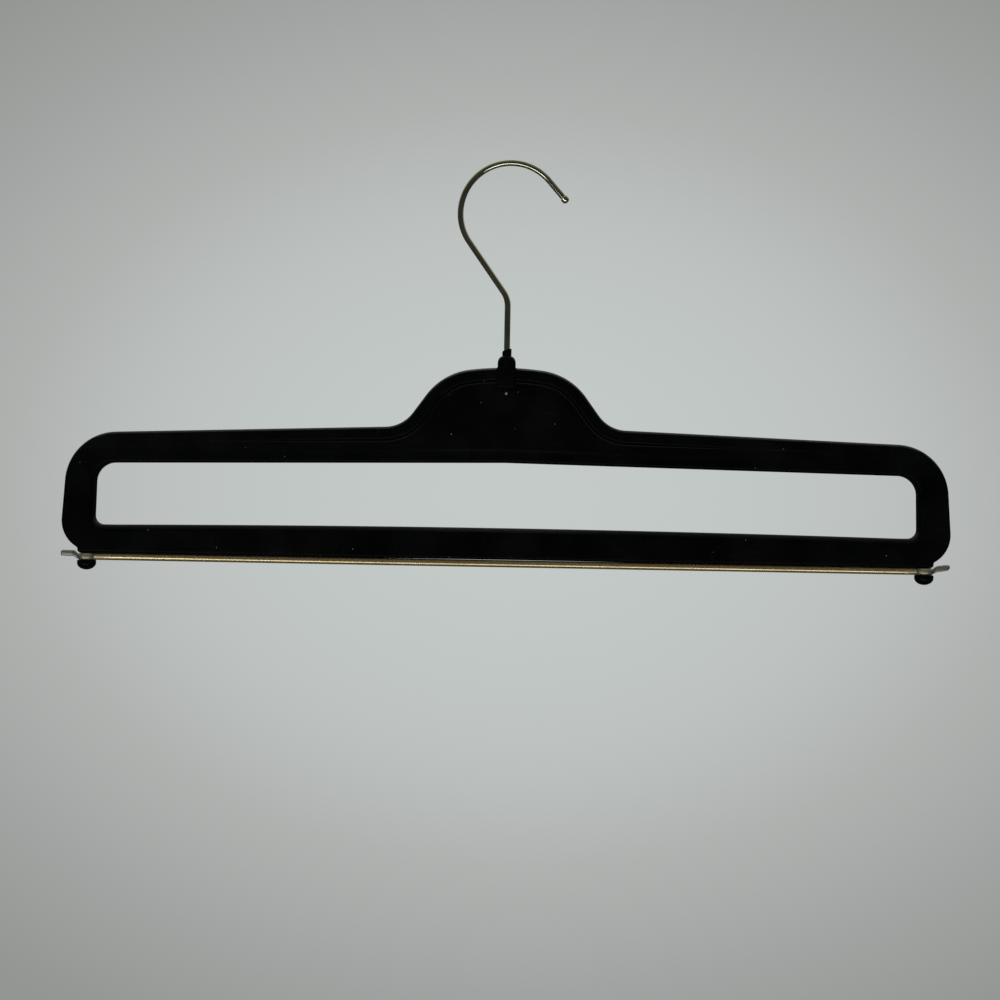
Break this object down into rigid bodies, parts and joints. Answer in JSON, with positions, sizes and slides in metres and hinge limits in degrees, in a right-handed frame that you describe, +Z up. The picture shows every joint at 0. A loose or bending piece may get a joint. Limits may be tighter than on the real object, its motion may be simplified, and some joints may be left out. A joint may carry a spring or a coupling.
{
  "type": "trouser hanger",
  "caption": "Long slim moulded hanger on a swivel wire hook, with a metal rod that swings out under its lower rail and clamps trousers against it.",
  "frame": {"origin": "the place inside the hook's crown that rests on the wardrobe rail, straight above the axis that the frame turns on", "axes": "+X along the rod towards its latch, +Y to the hanger's back, +Z up along the hook's shank"},
  "size_m": [0.432, 0.0092, 0.2027],
  "materials": {
    "frame_plastic": "satin black moulding with soft edges",
    "gloss_plastic": "glossy black",
    "hook_brass": "aged, dark olive brass plating",
    "rod_brass": "satin brass plating, duller at the ends"
  },
  "bodies": {
    "hook": {"hook": "hook_brass"},
    "frame": {"frame": "frame_plastic", "hook_bush": "gloss_plastic", "left_pivot_pin": "gloss_plastic", "right_latch_pin": "gloss_plastic"},
    "rod": {"clamp_rod": "rod_brass"}
  },
  "joints": [
    {"name": "hook_swivel", "type": "hinge", "parent": "hook", "child": "frame", "pos_m": [0, 0, -0.0979], "axis": [0, 0, 1], "continuous": true},
    {"name": "rod_swing", "type": "hinge", "parent": "frame", "child": "rod", "pos_m": [-0.2039, 0, -0.1933], "axis": [0, 0, -1], "range_deg": [0, 120]}
  ]
}
